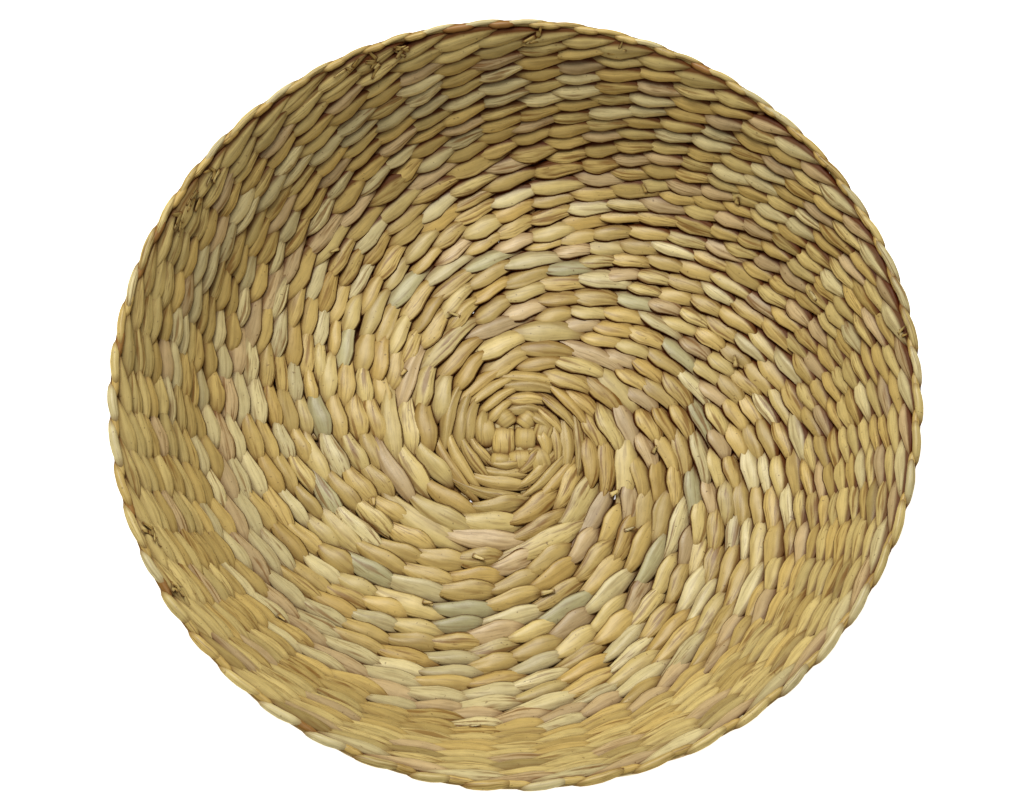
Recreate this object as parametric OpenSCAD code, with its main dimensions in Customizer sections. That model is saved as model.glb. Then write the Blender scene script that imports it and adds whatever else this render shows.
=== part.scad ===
// Shallow round winnowing basket, twined from flat dried leaf strands.
// The bowl stands on its flat floor: origin at the centre of the underside, +Z up.
// Stakes run from the centre to the rim, and every weft round is a pair of
// strands, one on each side of the stakes.

/* [Bowl] */
// Diameter over the border
rim_d = 450; // [330:5:700]
// Height of the stake line where it meets the border, above the floor's stake line
depth = 88; // [40:1:130]
// Radius of the flat part of the floor
floor_r = 118; // [80:1:150]
// Radius of the bend between floor and wall, limited where the wall is too short for it
bend_r = 85; // [40:1:120]

/* [Stakes] */
// Width of a stake
stake_w = 4.6; // [2:0.1:5.5]
// Thickness of a stake
stake_t = 1.6; // [0.8:0.1:3]
// Spacing of the stakes where they cross in the middle of the floor
cross_pitch = 6.4; // [6.2:0.1:10]
// Gap between two stakes that cross
cross_gap = 0.1; // [0.05:0.05:0.5]

/* [Weft] */
// Thickness of a weft strand
strand_t = 3; // [1.5:0.1:5]
// Gap between a strand and the stakes
strand_gap = 0.15; // [0.1:0.05:0.6]
// Gap between one round and the next
round_gap = 0.4; // [0.2:0.1:1.5]
// Width of the narrow rounds close to the centre
centre_pitch = 6.5; // [4:0.1:9]
// How much wider the floor's rounds are than the rim's, as a share of the mean width
taper = 0.16; // [0:0.01:0.3]

/* [Border] */
// Width of the finished border
border_w = 6; // [4:0.1:10]
// Thickness of the leaf turned around the border's core
border_turn_t = 1.2; // [0.6:0.1:1.6]
// Gap between the border's pieces
border_gap = 0.15; // [0.1:0.05:0.4]
// Share of each border step that the pale turned stake end covers
turn_share = 0.68; // [0.3:0.01:0.85]

/* [Hidden] */
// Stakes that cross in the middle: lengthwise, crosswise, and their ends
LONG_STAKES = 4;
CROSS_STAKES = 3;
BASE_ENDS = 2 * (LONG_STAKES + CROSS_STAKES);
// Each later family of stakes is as many as the base ends
FAMILIES = 3;
STAKES = BASE_ENDS * (FAMILIES + 1);
CENTRE_ROUNDS = 4;
WALL_ROUNDS = 23;
ROUNDS = CENTRE_ROUNDS + WALL_ROUNDS;
// Round at which each family of added stakes begins, and its place in a base gap
FAMILY_START = [8, 12, 17];
FAMILY_PLACE = [2, 1, 3];
BEVEL = 0.28;
BEND_LIMIT = 0.9;
BEND_STEPS = 16;
EDGE_STEP = 360 / STAKES;

// Half thickness of the wall, from the stake line to the outer face of a strand
half_t = stake_t / 2 + strand_gap + strand_t;

// The border's centre, and the end of the last round just below it
border_r = (rim_d - border_w) / 2;
border_drop = border_w / 2 + strand_gap;

// Stake line: flat floor, one bend, then a straight flaring wall up to the border
reach = border_r - floor_r;
bend = min(bend_r, BEND_LIMIT * (reach * reach + depth * depth) / (2 * depth));
lift = depth - bend;
slope = atan2(lift, reach) + asin(bend / norm([reach, lift]));
bend_arc = bend * slope * PI / 180;
wall_len = (reach - bend * sin(slope)) / cos(slope);
border_arc = floor_r + bend_arc + wall_len;
weft_end = border_arc - border_drop;

// A point at arc length s along the stake line and n towards the inside of the bowl
function slope_at(s) =
    s <= floor_r ? 0 : s >= floor_r + bend_arc ? slope : slope * (s - floor_r) / bend_arc;
function line_r(s) =
    s <= floor_r ? s
    : s <= floor_r + bend_arc ? floor_r + bend * sin(slope_at(s))
    : floor_r + bend * sin(slope) + (s - floor_r - bend_arc) * cos(slope);
function line_z(s) =
    s <= floor_r ? 0
    : s <= floor_r + bend_arc ? bend * (1 - cos(slope_at(s)))
    : bend * (1 - cos(slope)) + (s - floor_r - bend_arc) * sin(slope);
function at(s, n) = [
    line_r(s) - n * sin(slope_at(s)),
    half_t + line_z(s) + n * cos(slope_at(s))
];

// Crossing patch and the first round's inner edge, which clears the patch's corners
patch = [LONG_STAKES * cross_pitch / 2, CROSS_STAKES * cross_pitch / 2];
weft_start = norm(patch) + strand_gap;
centre_end = weft_start + CENTRE_ROUNDS * centre_pitch;

// Arc length at the inner edge of round k, counted from 1
function round_edge(k) =
    k <= CENTRE_ROUNDS + 1 ? weft_start + (k - 1) * centre_pitch
    : let (u = (k - 1 - CENTRE_ROUNDS) / WALL_ROUNDS)
      centre_end + (weft_end - centre_end) * u * (1 + taper - taper * u);

// Height of a crossing stake over or under the stake line, and the run past its last
// crossing in which it comes back to the stake line
RAMP_SHARE = 0.4;
LAP = 0.1;
cross_lift = (stake_t + cross_gap) / 2;
function patch_end(count) =
    crossing_x(count - 1, count) + stake_w / 2 + RAMP_SHARE * (cross_pitch - stake_w);
function lies_over(i, j) = (floor(i / 2) + floor(j / 2)) % 2 == 0 ? 1 : -1;
function crossing_x(j, count) = (j - (count - 1) / 2) * cross_pitch;

function two_digits(k) = k < 10 ? str("0", k) : str(k);
function round_name(k) = str("weft_round_", two_digits(k));
function long_name(i) = str("base_stake_long_", i + 1);
function cross_name(i) = str("base_stake_cross_", i + 1);
FAMILY_NAMES = ["added_stakes_first", "added_stakes_second", "added_stakes_third"];

// A strip of thickness t whose middle follows the stake line from arc length a to b
function line_steps(a, b) = concat(
    [a],
    [for (i = [0 : BEND_STEPS])
        let (s = floor_r + bend_arc * i / BEND_STEPS)
        if (s > a && s < b) s],
    [b]
);
function strip_profile(a, b, t) =
    let (steps = line_steps(a, b), last = len(steps) - 1)
    concat(
        [for (s = steps) at(s, -t / 2)],
        [for (i = [0 : last]) at(steps[last - i], t / 2)]
    );

// A stake's stretch from arc length a up to the border, along the +X direction
module stake_arm(a) {
    rotate([90, 0, 0])
        translate([0, 0, -stake_w / 2])
            linear_extrude(stake_w)
                polygon(strip_profile(a, weft_end, stake_t));
}

// A stake's flat stretch on the floor: it leaves the crossing patch along +X at the
// given offset and turns into the radial direction at angle ray
module floor_stretch(offset, ray, start_x) {
    h = stake_w / 2;
    kink = [ray == 0 ? start_x + h : offset / tan(ray), offset];
    side = h * [-sin(ray), cos(ray)];
    mitre = h * [-tan(ray / 2), 1];
    outer = floor_r * [cos(ray), sin(ray)];
    translate([0, 0, half_t - stake_t / 2])
        linear_extrude(stake_t)
            polygon([
                [start_x, offset - h], kink - mitre, outer - side,
                outer + side, kink + mitre, [start_x, offset + h]
            ]);
}

// The stretch of a base stake that weaves over and under the other set; on_top is
// 1 for the lengthwise set and -1 for the crosswise set, which passes the other way and
// meets the lengthwise stakes from the last to the first, because those are turned to Y
module crossing_strip(i, count, offset, on_top) {
    flat = stake_w / 2;
    line = concat(
        [[-patch_end(count), 0]],
        [for (j = [0 : count - 1])
            for (side = [-1, 1])
                [crossing_x(j, count) + side * flat,
                    on_top * cross_lift * lies_over(i, on_top > 0 ? j : count - 1 - j)]],
        [[patch_end(count), 0]]
    );
    last = len(line) - 1;
    translate([0, offset + stake_w / 2, half_t])
        rotate([90, 0, 0])
            linear_extrude(stake_w)
                polygon(concat(
                    [for (p = line) p - [0, stake_t / 2]],
                    [for (k = [0 : last]) line[last - k] + [0, stake_t / 2]]
                ));
}

// A base stake along X: it crosses `count` stakes and both ends run up to the border
module base_stake(i, own, count, on_top) {
    offset = crossing_x(i, own);
    ray = 360 / BASE_ENDS * (i - (own - 1) / 2);
    crossing_strip(i, count, offset, on_top);
    for (end = [0, 1])
        mirror([end, 0, 0]) {
            floor_stretch(offset, ray, patch_end(count) - LAP);
            rotate([0, 0, ray]) stake_arm(floor_r);
        }
}

module long_stake(i) {
    color([0.80, 0.72, 0.48])
        rotate([0, 0, 90]) base_stake(i, LONG_STAKES, CROSS_STAKES, 1);
}

module cross_stake(i) {
    color([0.76, 0.68, 0.45])
        base_stake(i, CROSS_STAKES, LONG_STAKES, -1);
}

// The stakes of one added family, each pushed in between two older ones
module added_stakes(family) {
    color([0.74, 0.66, 0.42])
        for (i = [0 : BASE_ENDS - 1])
            rotate([0, 0, EDGE_STEP * (i * (FAMILIES + 1) + FAMILY_PLACE[family])])
                stake_arm(round_edge(FAMILY_START[family]));
}

// Section of one strand of a round, between arc lengths a and b, on one side of the stakes
function strand_section(a, b, side) =
    let (near = side * (stake_t / 2 + strand_gap), far = side * half_t,
         cut_s = (b - a) * BEVEL, cut_n = (far - near) * BEVEL)
    [
        at(a + cut_s, near), at(b - cut_s, near), at(b, near + cut_n), at(b, far - cut_n),
        at(b - cut_s, far), at(a + cut_s, far), at(a, far - cut_n), at(a, near + cut_n)
    ];

// One weft round: a strand inside the stakes and a strand outside them
module weft_round(k) {
    tone = 0.03 * (k % 3);
    a = round_edge(k) + round_gap / 2;
    b = round_edge(k + 1) - round_gap / 2;
    color([0.83 - tone, 0.76 - tone, 0.52 - tone])
        for (side = [-1, 1])
            rotate_extrude()
                polygon(strand_section(a, b, side));
}

// Octagon of the given width across flats, centred on the border's core
function octagon(width) =
    let (c = at(border_arc, 0), corner = width / 2 / cos(22.5))
    [for (i = [0 : 7]) c + corner * [cos(22.5 + 45 * i), sin(22.5 + 45 * i)]];

core_w = border_w - 2 * border_turn_t - 2 * border_gap;

// Bundle of stake tails laid along the rim
module border_core() {
    color([0.62, 0.52, 0.30])
        rotate_extrude() polygon(octagon(core_w));
}

// One leaf turned around the core, from angle `from` over `sweep` degrees
module border_turn(from, sweep) {
    rotate([0, 0, from])
        rotate_extrude(angle = sweep)
            difference() {
                polygon(octagon(border_w));
                polygon(octagon(border_w - 2 * border_turn_t));
            }
}

gap_angle = border_gap / border_r * 180 / PI;
turn_sweep = EDGE_STEP * turn_share - gap_angle;
tie_sweep = EDGE_STEP * (1 - turn_share) - gap_angle;

// Pale stake ends folded over the core, one for each stake
module border_turned_ends() {
    color([0.87, 0.80, 0.58])
        for (i = [0 : STAKES - 1])
            border_turn(EDGE_STEP * i, turn_sweep);
}

// Darker ties between the folded ends
module border_ties() {
    color([0.66, 0.45, 0.22])
        for (i = [0 : STAKES - 1])
            border_turn(EDGE_STEP * i + turn_sweep + gap_angle, tie_sweep);
}

for (i = [0 : LONG_STAKES - 1])
    long_stake(i);
for (i = [0 : CROSS_STAKES - 1])
    cross_stake(i);
for (family = [0 : FAMILIES - 1])
    added_stakes(family);
for (k = [1 : ROUNDS])
    weft_round(k);
border_core();
border_turned_ends();
border_ties();
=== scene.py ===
"""Twined winnowing basket: pairs of leaf strands twist around radial stakes, round by round."""

import math
import random

import bpy
import numpy as np
from mathutils import Matrix, Vector, noise


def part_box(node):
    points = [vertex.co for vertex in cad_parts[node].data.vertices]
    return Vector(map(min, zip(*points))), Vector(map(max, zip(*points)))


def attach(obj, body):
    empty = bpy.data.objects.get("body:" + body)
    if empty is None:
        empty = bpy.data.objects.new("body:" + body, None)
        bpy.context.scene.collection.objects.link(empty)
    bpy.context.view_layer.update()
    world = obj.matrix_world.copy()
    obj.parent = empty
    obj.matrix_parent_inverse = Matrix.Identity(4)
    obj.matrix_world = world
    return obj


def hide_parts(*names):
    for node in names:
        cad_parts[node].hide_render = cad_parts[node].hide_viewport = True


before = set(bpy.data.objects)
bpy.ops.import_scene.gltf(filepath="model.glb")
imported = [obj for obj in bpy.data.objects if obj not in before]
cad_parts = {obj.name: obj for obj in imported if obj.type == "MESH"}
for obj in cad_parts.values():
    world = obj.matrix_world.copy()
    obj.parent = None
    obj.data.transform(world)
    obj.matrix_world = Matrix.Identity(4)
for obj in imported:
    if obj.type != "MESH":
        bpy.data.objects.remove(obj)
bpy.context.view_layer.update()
chance = random.Random(27)

# ---------------------------------------------------------------- the bowl's shape
FLOOR_R = 0.118
BEND_R = 0.085
DEPTH = 0.088
CROSS_PITCH = 0.0064
CENTRE_PITCH = 0.0065
TAPER = 0.16
STRAND_GAP = 0.00015
CENTRE_ROUNDS = 4
WALL_ROUNDS = 23
ROUNDS = CENTRE_ROUNDS + WALL_ROUNDS
LONG_STAKES = 4
CROSS_STAKES = 3
BASE_ENDS = 2 * (LONG_STAKES + CROSS_STAKES)

border_low, border_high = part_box("border_turned_ends")
BORDER_W = border_high.z - border_low.z
BORDER_R = border_high.x - BORDER_W / 2
HALF_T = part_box("weft_round_02")[1].z / 2

reach = BORDER_R - FLOOR_R
SLOPE = math.atan2(DEPTH - BEND_R, reach) + math.asin(BEND_R / math.hypot(reach, DEPTH - BEND_R))
BEND_ARC = BEND_R * SLOPE
WALL_LEN = (reach - BEND_R * math.sin(SLOPE)) / math.cos(SLOPE)
BORDER_ARC = FLOOR_R + BEND_ARC + WALL_LEN
WEFT_START = math.hypot(LONG_STAKES, CROSS_STAKES) * CROSS_PITCH / 2 + STRAND_GAP
CENTRE_END = WEFT_START + CENTRE_ROUNDS * CENTRE_PITCH
WEFT_END = BORDER_ARC - BORDER_W / 2 - STRAND_GAP


def slope_at(s):
    """Slope of the stake line at arc length s from the centre."""
    return SLOPE * min(max((s - FLOOR_R) / BEND_ARC, 0), 1)


def on_bowl(s, angle, n):
    """The point at arc length s, in direction angle, n towards the inside of the bowl."""
    slope = slope_at(s)
    wall = max(s - FLOOR_R - BEND_ARC, 0)
    r = min(s, FLOOR_R) + BEND_R * math.sin(slope) + wall * math.cos(SLOPE)
    z = HALF_T + BEND_R * (1 - math.cos(slope)) + wall * math.sin(SLOPE)
    r -= n * math.sin(slope)
    return Vector((r * math.cos(angle), r * math.sin(angle), z + n * math.cos(slope)))


def radius_at(s):
    return math.hypot(*on_bowl(s, 0, 0).xy)


def round_edge(k):
    """Arc length of the inner edge of round k, which may be a broken number."""
    if k <= CENTRE_ROUNDS + 1:
        return WEFT_START + (k - 1) * CENTRE_PITCH
    u = (k - 1 - CENTRE_ROUNDS) / WALL_ROUNDS
    return CENTRE_END + (WEFT_END - CENTRE_END) * u * (1 + TAPER - TAPER * u)


def waver(angle, s, seed):
    """A slow hand-made unevenness over the bowl, between -1 and 1."""
    return noise.noise(Vector((2 * math.cos(angle), 2 * math.sin(angle), seed + s * 30)))


# ---------------------------------------------------------------- the weave's counts
# The stitches in a round: the inner rounds take the base stakes in bundles, and a new
# family of stakes comes in where the gaps get wide.
START = 10 / BASE_ENDS
SPIRAL_FADE = 22


def stitches_in(k):
    if k <= CENTRE_ROUNDS:
        return 8
    if k < 8:
        return BASE_ENDS
    if k < 12:
        return 2 * BASE_ENDS
    if k < 18:
        return 3 * BASE_ENDS
    return 4 * BASE_ENDS


def stake_angle(share):
    """Direction of a stake at a share of the full turn: they stand closer on one side."""
    turn = 2 * math.pi * (share + START)
    return turn + 0.125 * math.cos(turn + 0.3) - 0.055 * math.sin(2 * turn - 0.3)


def round_middle(k, share):
    """Arc length of the middle of round k, which climbs like a spiral into the next."""
    pitch = round_edge(k + 1) - round_edge(k)
    fade = min(1, max(0, (ROUNDS - k) / (ROUNDS - SPIRAL_FADE)))
    return round_edge(k) + pitch * (0.5 + (share - 0.5) * fade)


# ---------------------------------------------------------------- leaf colours
def linear(red, green, blue):
    """A colour given as seen on a screen, 0 to 255, as the shader's linear values."""
    return np.array([((c / 255 + 0.055) / 1.055) ** 2.4 for c in (red, green, blue)])


STRAW = linear(216, 192, 122)
PALE = linear(222, 205, 148)
HONEY = linear(208, 179, 106)
OCHRE = linear(202, 170, 96)
RUST = linear(158, 114, 58)
MAUVE = linear(207, 180, 130)
SAGE = linear(190, 180, 130)
OLIVE = linear(180, 156, 94)

# How common each leaf is, from the floor to the rim
FLOOR_LEAVES = [(STRAW, 10), (PALE, 3), (HONEY, 6), (MAUVE, 2), (OCHRE, 0.8)]
WALL_LEAVES = [
    (STRAW, 10), (PALE, 2), (HONEY, 8), (MAUVE, 1.2), (OCHRE, 0.8), (SAGE, 0.4), (OLIVE, 0.8),
]
# Odd-coloured leaves and where each starts: round, strand, colour
CHOSEN_LEAVES = {
    (7, 0): MAUVE, (8, 1): MAUVE, (9, 0): OCHRE, (8, 0): HONEY,
    (11, 0): SAGE, (12, 1): MAUVE, (25, 0): OLIVE,
}


def pick_colour(k):
    kinds = FLOOR_LEAVES if k < 16 else WALL_LEAVES
    return chance.choices([c for c, w in kinds], [w for c, w in kinds])[0]


# ---------------------------------------------------------------- meshes
def clear_selection():
    bpy.ops.object.select_all(action="DESELECT")


def read_pattern(obj):
    """A modelled pattern as plain lists, and the object is removed."""
    mesh = obj.data
    points = [tuple(v.co) for v in mesh.vertices]
    faces = [tuple(p.vertices) for p in mesh.polygons]
    bpy.data.objects.remove(obj)
    bpy.data.meshes.remove(mesh)
    return points, faces


def leaf_pattern(around, along):
    """A straight closed tube, one long in each direction: x runs from -1 to 1 along the
    leaf, and the angle around x says which side of the leaf a point is on."""
    clear_selection()
    bpy.ops.mesh.primitive_cylinder_add(
        vertices=around, radius=1, depth=2, end_fill_type="NGON", rotation=(0, math.pi / 2, 0)
    )
    tube = bpy.context.active_object
    bpy.ops.object.transform_apply(location=False, rotation=True, scale=False)
    bpy.ops.object.mode_set(mode="EDIT")
    bpy.ops.mesh.select_mode(type="EDGE")
    bpy.ops.mesh.select_all(action="DESELECT")
    bpy.ops.object.mode_set(mode="OBJECT")
    for edge in tube.data.edges:
        ends = [tube.data.vertices[v].co.x for v in edge.vertices]
        edge.select = abs(ends[0] - ends[1]) > 1
    bpy.ops.object.mode_set(mode="EDIT")
    bpy.ops.mesh.subdivide(number_cuts=along - 1, quadcorner="INNERVERT")
    bpy.ops.object.mode_set(mode="OBJECT")
    return read_pattern(tube)


STITCH = leaf_pattern(around=10, along=12)
PLEATED = leaf_pattern(around=16, along=12)
RIBBON = leaf_pattern(around=8, along=48)
SHORT = leaf_pattern(around=10, along=8)
LONG_RIBBON = leaf_pattern(around=8, along=120)


class Laid:
    """Collects many laid copies of patterns and makes them one mesh."""

    def __init__(self):
        self.points, self.faces, self.grain, self.tone, self.tip = [], [], [], [], []

    def add(self, pattern, place, colour, grain_len, seed):
        """place(x, angle) gives a pattern point's place; grain_len is the leaf's length."""
        points, faces = pattern
        first = len(self.points)
        sides = []
        for x, y, z in points:
            angle = math.atan2(z, y)
            self.points.append(place(x, angle))
            sides.append((x, angle))
            self.tip.append(abs(x))
        for face in faces:
            self.faces.append(tuple(first + v for v in face))
            angles = [sides[v][1] for v in face]
            if max(angles) - min(angles) > math.pi and len(face) == 4:
                angles = [a + 2 * math.pi if a < 0 else a for a in angles]
            for v, angle in zip(face, angles):
                self.grain.append((sides[v][0] * grain_len / 2 + seed * 7.3, angle / (2 * math.pi)))
        self.tone += [(*colour, seed)] * len(points)

    def make(self, name, material, *nodes, slot="weft_leaf"):
        mesh = bpy.data.meshes.new(name)
        mesh.from_pydata(self.points, [], self.faces)
        layer = mesh.uv_layers.new(name="grain")
        layer.data.foreach_set("uv", np.array(self.grain, float).ravel())
        tone = mesh.attributes.new("leaf_tone", "FLOAT_COLOR", "POINT")
        tone.data.foreach_set("color", np.array(self.tone, float).ravel())
        tip = mesh.attributes.new("leaf_tip", "FLOAT", "POINT")
        tip.data.foreach_set("value", np.array(self.tip, float))
        mesh.polygons.foreach_set("use_smooth", [True] * len(mesh.polygons))
        mesh.materials.append(material)
        obj = bpy.data.objects.new(name, mesh)
        bpy.context.scene.collection.objects.link(obj)
        clear_selection()
        obj.select_set(True)
        bpy.context.view_layer.objects.active = obj
        bpy.ops.object.mode_set(mode="EDIT")
        bpy.ops.mesh.select_all(action="SELECT")
        bpy.ops.mesh.normals_make_consistent(inside=False)
        bpy.ops.object.mode_set(mode="OBJECT")
        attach(obj, "root")
        if nodes:
            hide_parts(*nodes)
        return obj


# ---------------------------------------------------------------- materials
class Channel:
    """A shader output that can be added, multiplied and so on like a number."""

    def __init__(self, shader, socket):
        self.shader, self.socket = shader, socket

    def math(self, operation, first, second=0.0):
        return self.shader.node("ShaderNodeMath", {"operation": operation}, {0: first, 1: second})

    def __add__(self, other):
        return self.math("ADD", self, other)

    def __radd__(self, other):
        return self.math("ADD", other, self)

    def __sub__(self, other):
        return self.math("SUBTRACT", self, other)

    def __rsub__(self, other):
        return self.math("SUBTRACT", other, self)

    def __mul__(self, other):
        return self.math("MULTIPLY", self, other)

    def __rmul__(self, other):
        return self.math("MULTIPLY", other, self)


class Shader:
    """One material and its nodes."""

    def __init__(self, name):
        self.material = bpy.data.materials.new(name)
        self.material.use_nodes = True
        self.tree = self.material.node_tree
        self.surface = self.tree.nodes["Principled BSDF"]

    def node(self, kind, settings=None, inputs=None, output=0):
        made = self.tree.nodes.new(kind)
        for key, value in (settings or {}).items():
            if key == "stops":
                ramp = made.color_ramp
                while len(ramp.elements) < len(value):
                    ramp.elements.new(0.5)
                for element, (position, level) in zip(ramp.elements, value):
                    element.position = position
                    element.color = (level, level, level, 1)
            else:
                setattr(made, key, value)
        for key, value in (inputs or {}).items():
            self.put(made.inputs[key], value)
        return Channel(self, made.outputs[output])

    def put(self, socket, value):
        if isinstance(value, Channel):
            self.tree.links.new(value.socket, socket)
        else:
            socket.default_value = value

    def noise(self, x, y, z, detail=2.0, roughness=0.5):
        place = self.node("ShaderNodeCombineXYZ", None, {0: x, 1: y, 2: z})
        settings = {"noise_dimensions": "3D"}
        sockets = {"Vector": place, "Scale": 1.0, "Detail": detail, "Roughness": roughness}
        return self.node("ShaderNodeTexNoise", settings, sockets)

    def ramp(self, value, *stops):
        return self.node("ShaderNodeValToRGB", {"stops": stops}, {"Fac": value})

    def tint(self, colour, factor, other, blend="MIX"):
        """Mixes two colours; a factor of 1 is all of the other one."""
        settings = {"data_type": "RGBA", "blend_type": blend}
        return self.node("ShaderNodeMix", settings, {0: factor, 6: colour, 7: other}, output=2)


def leaf_finish(name, roughness, pleat_depth, stain, edge_shade_depth=1.0, tuck_shadow_depth=0.0):
    """Dried leaf: long fibres and pleats along the strand, with brown painted shade at its edges,
    tucked sides and tips and in its crevices, stronger on one side of the basket.
    """
    shader = Shader(name)
    node = shader.node
    grain = node("ShaderNodeUVMap", {"uv_map": "grain"})
    along = node("ShaderNodeSeparateXYZ", None, {0: grain}, output=0)
    around = node("ShaderNodeSeparateXYZ", None, {0: grain}, output=1)
    leaf = node("ShaderNodeAttribute", {"attribute_name": "leaf_tone"})
    seed = node("ShaderNodeAttribute", {"attribute_name": "leaf_tone"}, output=3)
    tip = node("ShaderNodeAttribute", {"attribute_name": "leaf_tip"}, output=2)
    place = node("ShaderNodeTexCoord", None, None, output=3)

    pleat = shader.noise(along * 40, around * 15, seed * 90, detail=1.0)
    fibre = shader.noise(along * 110, around * 42, seed * 40, detail=2.0)
    mottle = node("ShaderNodeTexNoise", None, {"Vector": place, "Scale": 150.0, "Detail": 3.0})
    weather = node("ShaderNodeTexNoise", None, {"Vector": place, "Scale": 11.0, "Detail": 2.0})
    speck = node("ShaderNodeTexNoise", None, {"Vector": place, "Scale": 480.0, "Detail": 1.0})
    chosen = node("ShaderNodeMath", {"operation": "FRACT"}, {0: seed * 9})
    wrinkled = shader.ramp(chosen, (0.45, 0.3), (0.7, 1.0))
    # Painted shade: a mask that grows towards the +x, +y side of the basket; it makes the painted
    # edge, tuck and crevice shade below darker on that side.
    shade_side_axis = {0: place, 1: (2.0, 3.4, 0)}
    way = node("ShaderNodeVectorMath", {"operation": "DOT_PRODUCT"}, shade_side_axis, 1)
    side_shade = shader.ramp(0.35 + way, (0.0, 0.25), (0.62, 1.0))

    light = 0.58 + 0.30 * pleat + 0.28 * fibre + 0.30 * mottle
    light = light + 0.1 * (weather - 0.5)
    level = node("ShaderNodeCombineColor", None, {0: light, 1: light, 2: light})
    colour = shader.tint(leaf, 1.0, level, "MULTIPLY")

    crease = shader.ramp(pleat, (0.33, 1.0), (0.45, 0.0))
    colour = shader.tint(colour, crease * wrinkled * 0.7, (*linear(132, 86, 26), 1))
    line = shader.ramp(fibre, (0.30, 1.0), (0.42, 0.0))
    colour = shader.tint(colour, line * wrinkled * 0.6, (*linear(128, 84, 26), 1))
    # Painted shade: dark brown on the edges and underside of each stitch, where it dips between its
    # neighbours.
    lift = node("ShaderNodeMath", {"operation": "SINE"}, {0: around * (2 * math.pi)})
    edge = shader.ramp(lift, (0.15, 1.0), (0.55, 0.0))
    colour = shader.tint(colour, edge * side_shade * edge_shade_depth, (*linear(88, 38, 2), 1))
    # Painted shadow: dark brown on the side of each stitch that lies under its neighbour.
    aside = node("ShaderNodeMath", {"operation": "COSINE"}, {0: around * (2 * math.pi)})
    tuck_shadow = shader.ramp(0.5 - 0.5 * aside, (0.62, 0.0), (0.80, 1.0))
    colour = shader.tint(colour, tuck_shadow * side_shade * tuck_shadow_depth, (*linear(90, 38, 2), 1))
    # Painted shade: brown towards the leaf tips, which tuck under the neighbouring stitches.
    end = shader.ramp(tip, (0.50, 0.0), (0.92, 1.0))
    colour = shader.tint(colour, end * 0.75, (*linear(122, 76, 22), 1))
    # Painted shade: the ambient occlusion of the crevices is painted into the colour as dark
    # red-brown.
    open_sky = node("ShaderNodeAmbientOcclusion", {"samples": 4}, {"Distance": 0.005}, 1)
    crevice_shade = shader.ramp(open_sky, (0.50, 1.0), (0.92, 0.0))
    colour = shader.tint(colour, crevice_shade * (0.62 + 0.36 * side_shade), (*linear(82, 30, 2), 1))
    blotch = shader.ramp(speck, (0.72, 0.0), (0.78, 1.0))
    colour = shader.tint(colour, blotch * stain, (*linear(104, 66, 28), 1))

    height = (0.7 * pleat + 0.3 * fibre) * wrinkled
    bump = node(
        "ShaderNodeBump", None, {"Strength": 0.9, "Distance": pleat_depth, "Height": height}
    )
    surface = shader.surface
    shader.put(surface.inputs["Base Color"], colour)
    shader.put(surface.inputs["Roughness"], roughness + 0.2 * fibre + 0.4 * edge)
    # The coat is left off where shade is painted.
    unshaded = (1 - edge) * (1 - tuck_shadow) * (1 - crevice_shade)
    shader.put(surface.inputs["Coat Weight"], unshaded * (0.25 + 0.6 * mottle))
    surface.inputs["Coat Roughness"].default_value = 0.34
    shader.put(surface.inputs["Normal"], bump)
    surface.inputs["Specular IOR Level"].default_value = 0.1
    return shader.material


# The wall leaves get more painted tuck shadow than the floor leaves; the border and tie leaves get
# no painted edge shade.
weft_finish = leaf_finish("floor_leaf", 0.3, 0.0012, 0.6, tuck_shadow_depth=0.35)
wall_finish = leaf_finish("wall_leaf", 0.32, 0.0011, 0.6, tuck_shadow_depth=0.9)
stake_finish = leaf_finish("stake_leaf", roughness=0.5, pleat_depth=0.0008, stain=0.5)
border_finish = leaf_finish("border_leaf", 0.38, 0.0009, 0.5, edge_shade_depth=0.0)
tie_finish = leaf_finish("tie_leaf", 0.4, 0.0007, 0.4, edge_shade_depth=0.0)


# ---------------------------------------------------------------- weft rounds
STRAND_RISE = 0.0021
STRAND_TOP = 0.0015
STRAND_LOW = 0.0009


class Leaf:
    """One leaf of a weft strand, long enough for a run of stitches."""

    def __init__(self, colour):
        self.colour = colour
        self.width = chance.uniform(0.88, 1.12)
        self.left = chance.randint(7, 16)
        self.fold = chance.uniform(-0.45, 0.45)
        self.pleated = chance.random() < 0.35


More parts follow.
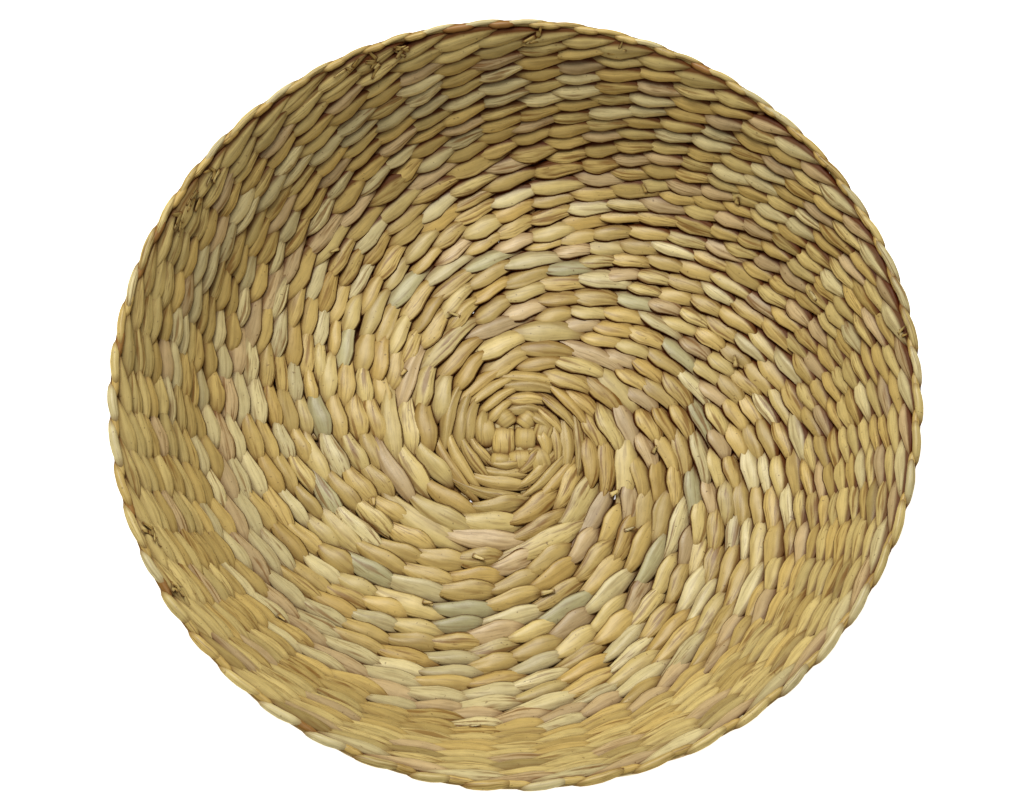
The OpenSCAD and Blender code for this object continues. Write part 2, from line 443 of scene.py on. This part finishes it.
def lay_stitch(laid, k, i, side, leaf):
    """One stitch over the stake at place i of round k, inside (1) or outside (-1)."""
    count = stitches_in(k)
    share = i / count
    middle = stake_angle(share)
    spacing = (stake_angle(share + 1 / count) - stake_angle(share - 1 / count)) / 2
    pitch = round_edge(k + 1) - round_edge(k)
    wall = min(1, max(0, (k - 12) / 6))
    half_len = spacing * chance.uniform(0.84, 1.02)
    cover = 0.67 + 0.04 * wall + 0.04 * (k < 10)
    half_w = pitch * cover * leaf.width * chance.uniform(0.88, 1.12)
    slant = pitch * chance.uniform(0.36, 0.56)
    rise = STRAND_RISE + chance.uniform(-0.0005, 0.0004)
    top = STRAND_TOP * chance.uniform(0.85, 1.25) * (1 + 0.35 * wall)
    tile = pitch * (0.07 + 0.09 * wall + chance.gauss(0, 0.03))
    twist = pitch * chance.uniform(0.04, 0.09)
    fold = leaf.fold + chance.gauss(0, 0.12)
    turning = chance.uniform(0.2, 0.7)
    shift = chance.gauss(0, 0.05) * pitch
    turn = chance.gauss(0, 0.04) * spacing
    radius = radius_at(round_edge(k + 0.5))
    colour = leaf.colour * chance.uniform(0.80, 1.12)
    seed = chance.random()
    ripples = chance.choice((2, 3)) if leaf.pleated else 0

    def place(x, angle):
        across, up = math.cos(angle), math.sin(angle)
        swing = x * half_len
        taper = (1 + x) ** 0.9 * (1 - 0.1 * x) if x < 0 else (1 - x ** 1.5) ** 0.9
        taper = max(0.05, min(1.0, taper) ** 0.85)
        body = 0.3 + 0.7 * (1 - x * x)
        straight = 0.5 * radius * (1 / math.cos(swing) - 1)
        s = round_middle(k, share + swing / (2 * math.pi)) + shift + straight
        s += 0.0016 * waver(middle, 0, 3.0 + 0.6 * k)
        s -= side * slant * math.sin(math.pi / 2 * x) + across * half_w * taper
        deep = rise * math.cos(math.pi / 2 * abs(x) ** (1.9 if x < 0 else 1.2))
        deep += (tile + twist * x) * across * taper
        if up > 0:
            ridge = 1 - abs(across - fold - turning * x)
            deep += body * top * up ** 0.7 * (0.55 + 0.65 * ridge)
            deep += body * 0.00035 * up * math.cos(ripples * math.pi * across) * (ripples > 0)
        else:
            deep += body * STRAND_LOW * up
        if side < 0 and s < FLOOR_R + 0.01:
            deep = min(deep, HALF_T)
        return on_bowl(s, middle + turn + swing + 0.03 * waver(middle, s, 9.0), side * deep)

    pattern = PLEATED if ripples else STITCH
    laid.add(pattern, place, colour, 2 * half_len * radius, seed)


def weave():
    leaves = [Leaf(pick_colour(1)), Leaf(pick_colour(1))]
    step = 0
    for k in range(1, ROUNDS + 1):
        for strand in (0, 1):
            if (k, strand) in CHOSEN_LEAVES:
                leaves[strand] = Leaf(CHOSEN_LEAVES[k, strand])
        laid = Laid()
        for i in range(stitches_in(k)):
            strand = step % 2
            leaf = leaves[strand]
            lay_stitch(laid, k, i, 1, leaf)
            lay_stitch(laid, k, i, -1, leaves[1 - strand])
            leaf.left -= 1
            if leaf.left <= 0:
                leaves[strand] = Leaf(pick_colour(k))
            step += 1
        name = f"weft_round_{k:02d}"
        laid.make(f"twined_round_{k:02d}", weft_finish if k < 15 else wall_finish, name)


weave()

# ---------------------------------------------------------------- stakes
STAKE_W = 0.0046
STAKE_T = 0.0016
CROSS_LIFT = 0.0011
PATCH_W = 0.0066
PATCH_T = 0.0024
FAMILIES = {
    "added_stakes_first": (2, 8),
    "added_stakes_second": (1, 12),
    "added_stakes_third": (3, 17),
}


def crossing_place(i, count):
    return (i - (count - 1) / 2) * CROSS_PITCH


def crossing_height(i, count, x, on_top):
    """Height of a base stake over or under the stakes it crosses, at x along it."""
    spot = x / CROSS_PITCH + (count - 1) / 2
    j = math.floor(spot)
    ease = spot - j
    ease = ease * ease * (3 - 2 * ease)

    def over(c):
        if not 0 <= c < count:
            return 0
        crossed = c if on_top > 0 else count - 1 - c
        return 1 if (i // 2 + crossed // 2) % 2 == 0 else -1

    return on_top * CROSS_LIFT * ((1 - ease) * over(j) + ease * over(j + 1))


def lay_base_stake(i, own, count, turn, on_top, node):
    offset = crossing_place(i, own)
    laid = Laid()
    ray = 2 * math.pi / BASE_ENDS * (i - (own - 1) / 2)
    kink = offset / math.tan(ray) if abs(ray) > 0.01 else CROSS_PITCH * (count + 1) / 2
    kink_r = math.hypot(kink, offset)
    half = kink + WEFT_END - kink_r

    def place(x, angle):
        across, up = math.cos(angle), math.sin(angle)
        far = half * (0.15 * abs(x) + 0.85 * abs(x) ** 3)
        way = 1 if x >= 0 else -1
        if far < kink:
            wide, thick = PATCH_W, PATCH_T
            height = crossing_height(i, count, way * far, on_top) + up * thick / 2
            return Matrix.Rotation(turn, 3, "Z") @ Vector(
                (way * far, offset + across * wide / 2, HALF_T + height)
            )
        s = kink_r + far - kink
        direction = ray if way > 0 else math.pi - ray
        wide = STAKE_W * (1 + 0.7 * (1 - s / WEFT_END))
        aside = way * across * wide / 2 / radius_at(max(s, kink_r))
        return on_bowl(s, turn + direction + aside, up * STAKE_T / 2)

    laid.add(LONG_RIBBON, place, STRAW * chance.uniform(0.85, 1.0), 2 * half, chance.random())
    laid.make(node.replace("base_stake", "split_leaf"), stake_finish, node, slot="stake_leaf")


for i in range(LONG_STAKES):
    lay_base_stake(i, LONG_STAKES, CROSS_STAKES, math.pi / 2, 1, f"base_stake_long_{i + 1}")
for i in range(CROSS_STAKES):
    lay_base_stake(i, CROSS_STAKES, LONG_STAKES, 0, -1, f"base_stake_cross_{i + 1}")

# Where the lengthwise leaves show over the crosswise ones: middle, half width and length
pads = Laid()
for x0, y0, half_x, half_y, lean in (
    (-0.0064, -0.0012, 0.0068, 0.0098, 0.03), (0.0061, 0.0006, 0.0064, 0.0082, -0.05),
    (0.0034, -0.0126, 0.0070, 0.0070, 0.12), (0.0146, -0.0122, 0.0062, 0.0094, 0.32),
    (-0.0080, -0.0134, 0.0058, 0.0056, -0.10), (-0.0166, 0.0040, 0.0056, 0.0096, 0.22),
    (0.0162, 0.0046, 0.0058, 0.0086, -0.30), (-0.0058, 0.0122, 0.0060, 0.0066, -0.9),
    (0.0070, 0.0114, 0.0056, 0.0064, 0.9),
):
    def place(x, angle, x0=x0, y0=y0, half_x=half_x, half_y=half_y, lean=lean):
        across, up = math.cos(angle), math.sin(angle)
        square = (1 - abs(x) ** 5) ** 0.35
        dome = 0.0004 + 0.0026 * math.cos(math.pi / 2 * x) ** 0.8
        flat = across * half_x * max(0.45, square)
        high = (up ** 0.6 if up > 0 else -abs(up)) * 0.0016
        pleat = 0.0002 * math.cos(3 * math.pi * across) * max(0, up)
        spot = Vector((flat, x * half_y, 0))
        spot.rotate(Matrix.Rotation(lean, 3, "Z"))
        return spot + Vector((x0, y0, HALF_T + dome - 0.0008 + high + pleat))

    pads.add(PLEATED, place, HONEY * chance.uniform(0.85, 1.1), 2 * half_y, chance.random())
pads.make("crossing_tops", stake_finish, slot="stake_leaf")

for family, (place_in_gap, first_round) in FAMILIES.items():
    laid = Laid()
    start = round_edge(first_round)
    for i in range(BASE_ENDS):
        direction = stake_angle((i + place_in_gap / 4) / BASE_ENDS)

        def place(x, angle, direction=direction):
            s = start + (WEFT_END - start) * (x + 1) / 2
            aside = math.cos(angle) * STAKE_W / 2 / radius_at(s)
            return on_bowl(s, direction + aside, math.sin(angle) * STAKE_T / 2)

        tone = HONEY * chance.uniform(0.7, 0.95)
        laid.add(RIBBON, place, tone, WEFT_END - start, chance.random())
    laid.make(family.replace("stakes", "leaves"), stake_finish, family, slot="stake_leaf")

# ---------------------------------------------------------------- border
BORDER_STEPS = 4 * BASE_ENDS


def lay_wrap(laid, share, reach, size, roll, lean, colour):
    """A leaf wound over the rim: it starts low on one face and ends low on the other."""
    middle = stake_angle(share)
    half_len = reach * math.pi / BORDER_STEPS

    def place(x, angle):
        way = roll + lean * x
        around = size * max(0.12, (1 - abs(x) ** 2.4) ** 0.6)
        aside = 0.0011 * math.cos(math.pi / 2 * x * 0.8)
        s = BORDER_ARC + aside * math.cos(way) + around * math.cos(angle)
        n = aside * math.sin(way) + around * math.sin(angle) + 0.0014 * math.sin(way) * abs(x)
        return on_bowl(s, middle + x * half_len, n)

    laid.add(SHORT, place, colour, 2 * half_len * BORDER_R, chance.random())


turned, ties = Laid(), Laid()
for i in range(BORDER_STEPS):
    share = (i + 0.5) / BORDER_STEPS
    pale = chance.choice((PALE, PALE, STRAW, STRAW, HONEY)) * chance.uniform(0.85, 1.08)
    size = chance.uniform(0.0024, 0.0030) * (1 - 0.4 * max(0, math.sin(stake_angle(share))))
    lay_wrap(turned, share, chance.uniform(1.05, 1.35), size, 0.6, 1.2, pale)
    brown = chance.choice((RUST, OCHRE, OCHRE, HONEY)) * chance.uniform(0.9, 1.15)
    lay_wrap(ties, share + 0.5 / BORDER_STEPS, chance.uniform(0.6, 0.9), 0.0023, 2.2, 0.8, brown)
turned.make("turned_stake_ends", border_finish, "border_turned_ends", slot="pale_leaf")
ties.make("border_wraps", tie_finish, "border_ties", slot="brown_leaf")

# ---------------------------------------------------------------- splice ends
def lay_end(laid, s0, direction, length, width, lean, lift, colour):
    """A loose cut end of a leaf: a thin curling sliver lying on the weave."""
    def place(x, angle):
        far = (x + 1) / 2
        taper = width * (1 - 0.6 * far) * math.cos(angle) / 2
        run = far * length
        s = s0 + run * math.sin(lean) + taper * math.cos(lean)
        turn = direction + (run * math.cos(lean) - taper * math.sin(lean)) / radius_at(s0)
        n = HALF_T + 0.0002 + lift * far ** 1.6 + 0.0003 * math.sin(angle)
        return on_bowl(s, turn, n)

    laid.add(SHORT, place, colour, length, chance.random())


def tuft(laid, s0, degrees, count, size, colours):
    for n in range(count):
        lay_end(
            laid, s0 + chance.uniform(-0.004, 0.004) * size,
            math.radians(degrees) + chance.uniform(-0.012, 0.012) * size,
            size * chance.uniform(0.004, 0.009), size * chance.uniform(0.0016, 0.0036),
            chance.gauss(0.4, 0.8), chance.uniform(0.0, 0.0016),
            chance.choice(colours) * chance.uniform(0.8, 1.1),
        )


ends = Laid()
for n in range(16):
    start = round_edge(chance.uniform(5, 22))
    lay_end(
        ends, start, chance.uniform(0, 2 * math.pi), chance.uniform(0.005, 0.009),
        chance.uniform(0.002, 0.0036), chance.gauss(0.3, 0.4), 0.0012,
        chance.choice((STRAW, HONEY, PALE)) * chance.uniform(0.9, 1.1),
    )
for degrees, back, count in (
    (88, 0.004, 5), (108, 0.005, 7), (113, 0.006, 6), (117, 0.004, 3), (143, 0.005, 6),
    (148, 0.006, 7), (152, 0.005, 5), (75, 0.003, 3), (10, 0.003, 3), (203, 0.005, 6),
    (212, 0.006, 6),
):
    tuft(ends, WEFT_END - back, degrees, count, 1.0, (HONEY, STRAW, HONEY * 0.7, OCHRE))
ends.make("splice_ends", border_finish, slot="weft_leaf")

# ---------------------------------------------------------------- border core
CORE_INSET = 0.0007
CORE_HALF_W = 0.0023
CORE_HALF_T = 0.0016
CORE_LEN = 1.4


def place_core(x, angle):
    s = BORDER_ARC - CORE_INSET + CORE_HALF_W * math.cos(angle)
    return on_bowl(s, math.pi * x, CORE_HALF_T * math.sin(angle))


core_laid = Laid()
core_laid.add(LONG_RIBBON, place_core, OLIVE, CORE_LEN, chance.random())
core_laid.make("stake_tails", stake_finish, "border_core", slot="stake_leaf")

# ---------------------------------------------------------------- floor, light, camera
bpy.ops.mesh.primitive_plane_add(size=30)
floor = bpy.context.active_object
floor.name = "studio_floor"
paper = Shader("white_paper")
paper.surface.inputs["Base Color"].default_value = (0.93, 0.93, 0.93, 1)
paper.surface.inputs["Roughness"].default_value = 0.9
paper.surface.inputs["Emission Color"].default_value = (1, 1, 1, 1)
paper.surface.inputs["Emission Strength"].default_value = 0.85
floor.data.materials.append(paper.material)

world = bpy.data.worlds.new("studio")
bpy.context.scene.world = world
world.use_nodes = True
world.node_tree.nodes["Background"].inputs["Color"].default_value = (1.0, 0.99, 0.97, 1)
world.node_tree.nodes["Background"].inputs["Strength"].default_value = 0.3


def area_light(name, place, target, size, power):
    light = bpy.data.lights.new(name, "AREA")
    light.shape = "DISK"
    light.size = size
    light.energy = power
    lamp = bpy.data.objects.new(name, light)
    bpy.context.scene.collection.objects.link(lamp)
    lamp.location = place
    lamp.rotation_euler = (target - Vector(place)).to_track_quat("-Z", "Y").to_euler()
    return lamp


WINDOW_SIZE = 1.5
WINDOW_POWER = 45
area_light("window", (-0.5, 1.15, 2.05), Vector((0, 0, 0)), WINDOW_SIZE, WINDOW_POWER)

AIM = Vector((-0.002, 0.0162, 0.03))
CAMERA_FAR = 2.0
CAMERA_TILT = math.radians(18.5)
CAMERA_ROLL = math.radians(1.15)
camera_data = bpy.data.cameras.new("camera")
camera_data.lens = 123.5
camera_data.sensor_width = 36
camera = bpy.data.objects.new("camera", camera_data)
bpy.context.scene.collection.objects.link(camera)
camera.location = AIM + CAMERA_FAR * Vector((0, -math.sin(CAMERA_TILT), math.cos(CAMERA_TILT)))
look = (AIM - camera.location).to_track_quat("-Z", "Y").to_matrix()
camera.rotation_euler = (look @ Matrix.Rotation(CAMERA_ROLL, 3, "Z")).to_euler()
bpy.context.scene.camera = camera
bpy.context.scene.view_settings.view_transform = "Standard"

bpy.context.view_layer.update()
